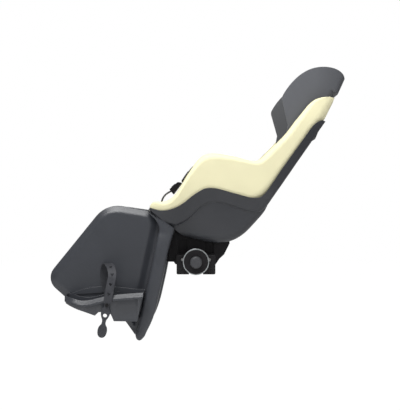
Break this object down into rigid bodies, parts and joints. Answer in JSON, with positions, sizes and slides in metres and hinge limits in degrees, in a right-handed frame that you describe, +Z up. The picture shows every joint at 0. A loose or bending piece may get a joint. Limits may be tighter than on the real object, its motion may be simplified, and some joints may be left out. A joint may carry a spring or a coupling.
{
  "type": "child bike seat",
  "caption": "Rear child bike seat: moulded bucket with winged headrest, harness, leg guards with sliding footrests and straps, and a knob-driven clamp for a carrier.",
  "frame": {"origin": "middle of the bracket's underside, where it rests on the carrier, below the clamp spindle", "axes": "+X to the rear of the bicycle, -Y to the rider's left (knob side), +Z up"},
  "size_m": [0.7858, 0.3896, 0.7107],
  "materials": {
    "shell_yellow": "smooth moulded, satin",
    "shell_charcoal": "fine moulded grain",
    "bracket_black": "moulded grain",
    "knob_silver": "satin silver",
    "strap_rubber": "soft matt",
    "steel": "zinc plated",
    "webbing": "woven",
    "liner_fabric": "quilted",
    "reflector_red": "prismatic lens"
  },
  "bodies": {
    "seat": {"seat_shell": "shell_yellow", "base_shell": "shell_charcoal", "carrier_bracket": "bracket_black", "bracket_bolts": "steel", "guide_rods": "steel", "left_leg_guard": "shell_charcoal", "right_leg_guard": "shell_charcoal", "headrest_keys": "shell_yellow", "reflector_housing": "shell_charcoal", "rear_reflector": "reflector_red", "crotch_strap": "webbing", "buckle_body": "bracket_black", "left_shoulder_strap": "webbing", "right_shoulder_strap": "webbing", "left_shoulder_pad": "liner_fabric", "right_shoulder_pad": "liner_fabric", "buckle_tongues": "bracket_black", "strap_sliders": "bracket_black", "harness_bar": "steel", "seat_liner": "liner_fabric", "back_liner": "liner_fabric", "shell_screws": "steel", "guard_screws": "steel"},
    "knob": {"knob_body": "bracket_black", "knob_ring": "knob_silver", "knob_cap": "bracket_black", "clamp_spindle": "steel", "spindle_collars": "steel"},
    "left_jaw": {"left_jaw": "bracket_black", "left_jaw_pads": "strap_rubber"},
    "right_jaw": {"right_jaw": "bracket_black", "right_jaw_pads": "strap_rubber"},
    "left_footrest": {"left_footrest": "shell_charcoal", "left_foot_strap": "strap_rubber", "left_strap_pegs": "bracket_black"},
    "right_footrest": {"right_footrest": "shell_charcoal", "right_foot_strap": "strap_rubber", "right_strap_pegs": "bracket_black"},
    "headrest": {"headrest_shell": "shell_charcoal"},
    "headrest_latch": {"headrest_latch": "bracket_black"},
    "buckle_button": {"buckle_button": "reflector_red"}
  },
  "joints": [
    {"name": "knob_turn", "type": "hinge", "parent": "seat", "child": "knob", "pos_m": [0, 0, 0.0115], "axis": [0, 1, 0], "range_deg": [-450, 540]},
    {"name": "left_jaw_slide", "type": "slide", "parent": "seat", "child": "left_jaw", "axis": [0, 1, 0], "range_m": [-0.0126, 0.0151]},
    {"name": "right_jaw_slide", "type": "slide", "parent": "seat", "child": "right_jaw", "axis": [0, -1, 0], "range_m": [-0.0126, 0.0151]},
    {"name": "left_footrest_height", "type": "slide", "parent": "seat", "child": "left_footrest", "axis": [0.2116, 0, 0.9773], "range_m": [-0.03, 0.06]},
    {"name": "right_footrest_height", "type": "slide", "parent": "seat", "child": "right_footrest", "axis": [0.2116, 0, 0.9773], "range_m": [-0.03, 0.06]},
    {"name": "headrest_height", "type": "slide", "parent": "seat", "child": "headrest", "axis": [0.4147, 0, 0.91], "range_m": [-0.004, 0.036]},
    {"name": "headrest_latch_pull", "type": "slide", "parent": "headrest", "child": "headrest_latch", "axis": [0.4147, 0, 0.91], "range_m": [0, 0.004], "stiffness_N_per_m": 500},
    {"name": "buckle_button_press", "type": "slide", "parent": "seat", "child": "buckle_button", "axis": [0.6562, 0, -0.7546], "range_m": [0, 0.003], "stiffness_N_per_m": 800}
  ],
  "couplings": [
    {"joint": "left_jaw_slide", "follows": "knob_turn", "m_per_rad": 0.0015915},
    {"joint": "right_jaw_slide", "follows": "knob_turn", "m_per_rad": 0.0015915}
  ]
}
